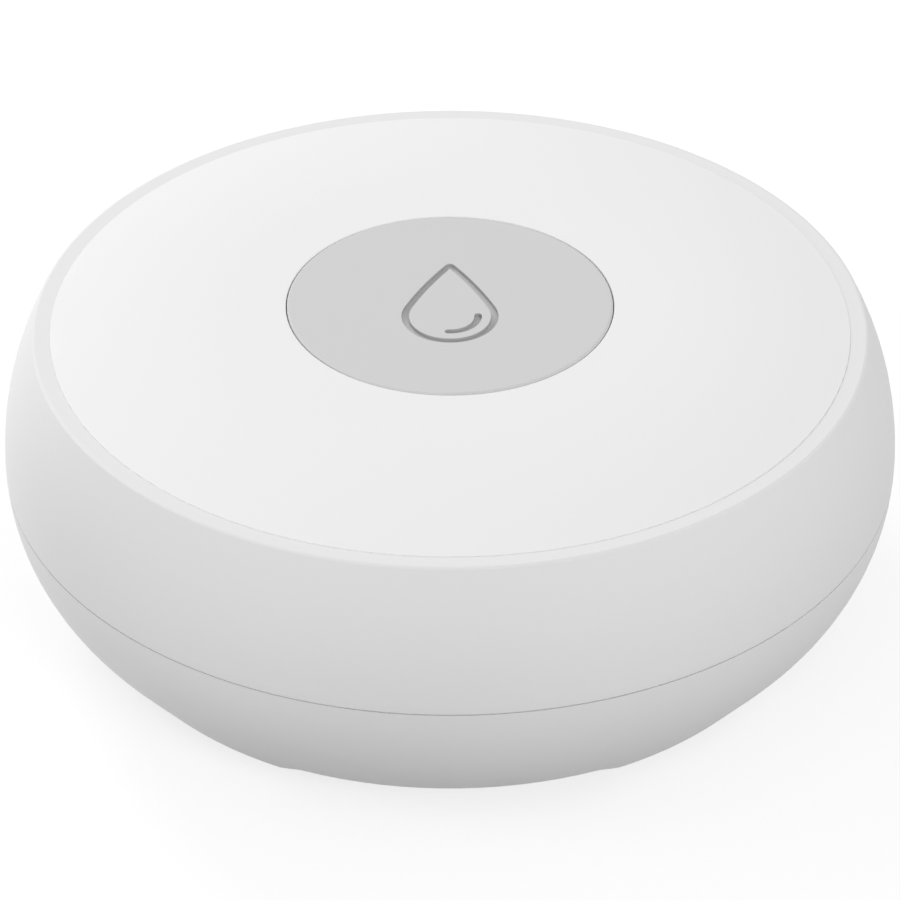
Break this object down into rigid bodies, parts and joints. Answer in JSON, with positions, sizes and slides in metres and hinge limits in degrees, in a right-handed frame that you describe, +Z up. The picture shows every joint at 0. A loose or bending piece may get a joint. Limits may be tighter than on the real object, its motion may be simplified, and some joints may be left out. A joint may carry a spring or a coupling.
{
  "type": "water leak sensor",
  "caption": "Round puck that lies on a floor, senses water with metal probes underneath, and has a press button on top and a twist-off base for its battery cells.",
  "frame": {"origin": "on the floor under the foot pads, on the axis of the puck", "axes": "+Z up through the button, front with the foot of the drop towards -Y, cells along X"},
  "size_m": [0.066, 0.066, 0.0253],
  "materials": {
    "shell_white": "fine satin moulded plastic",
    "cover_white": "smooth satin moulded plastic",
    "button_grey": "matte light grey moulded plastic",
    "seal_silicone": "translucent silicone",
    "seal_rubber": "greased black rubber",
    "pad_rubber": "soft grey rubber",
    "probe_steel": "polished stainless steel",
    "nut_brass": "turned brass",
    "spring_steel": "drawn spring wire",
    "contact_nickel": "nickel plated strip",
    "chassis_plastic": "moulded plastic",
    "board_green": "green solder mask",
    "module_board": "dark blue solder mask",
    "shield_tin": "tin plated sheet",
    "switch_black": "moulded black plastic",
    "switch_stem": "moulded plastic",
    "chip_black": "moulded epoxy",
    "buzzer_black": "moulded black plastic",
    "led_lens": "clear epoxy over a white case",
    "antenna_ceramic": "sintered ceramic",
    "capacitor_case": "moulded epoxy",
    "screw_steel": "zinc plated steel",
    "cell_sleeve": "printed foil sleeve over a metal can",
    "tape_white": "double-sided foam tape"
  },
  "bodies": {
    "housing": {"antenna": "antenna_ceramic", "battery_1": "cell_sleeve", "battery_2": "cell_sleeve", "bridge_contact": "contact_nickel", "bridge_spring": "spring_steel", "button_seal": "seal_silicone", "buzzer": "buzzer_black", "capacitor": "capacitor_case", "chassis": "chassis_plastic", "chassis_screws": "screw_steel", "circuit_board": "board_green", "controller_chip": "chip_black", "cover_tape": "tape_white", "negative_contact": "contact_nickel", "negative_spring": "spring_steel", "positive_contact": "contact_nickel", "probe_spring_1": "spring_steel", "probe_spring_2": "spring_steel", "probe_spring_3": "spring_steel", "probe_spring_4": "spring_steel", "radio_board": "module_board", "radio_shield": "shield_tin", "status_led": "led_lens", "switch_body": "switch_black", "top_cover": "cover_white", "upper_shell": "shell_white"},
    "base": {"base_seal": "seal_rubber", "foot_pad_1": "pad_rubber", "foot_pad_2": "pad_rubber", "foot_pad_3": "pad_rubber", "foot_pad_4": "pad_rubber", "lower_shell": "shell_white", "probe_1": "probe_steel", "probe_2": "probe_steel", "probe_3": "probe_steel", "probe_4": "probe_steel", "probe_nuts": "nut_brass", "probe_seal_1": "seal_rubber", "probe_seal_2": "seal_rubber", "probe_seal_3": "seal_rubber", "probe_seal_4": "seal_rubber"},
    "button": {"button_cap": "button_grey"},
    "plunger": {"switch_plunger": "switch_stem"}
  },
  "joints": [
    {"name": "base_twist", "type": "hinge", "parent": "housing", "child": "base", "pos_m": [0, 0, 0], "axis": [0, 0, 1], "range_deg": [-22, 0]},
    {"name": "button_press", "type": "slide", "parent": "housing", "child": "button", "axis": [0, 0, -1], "range_m": [0, 0.0003], "stiffness_N_per_m": 4000, "springref_m": -0.0001, "deforming": ["button_seal"]},
    {"name": "plunger_travel", "type": "slide", "parent": "housing", "child": "plunger", "axis": [0, 0, -1], "range_m": [0, 0.0003]}
  ],
  "couplings": [
    {"joint": "plunger_travel", "follows": "button_press", "ratio": 1}
  ]
}
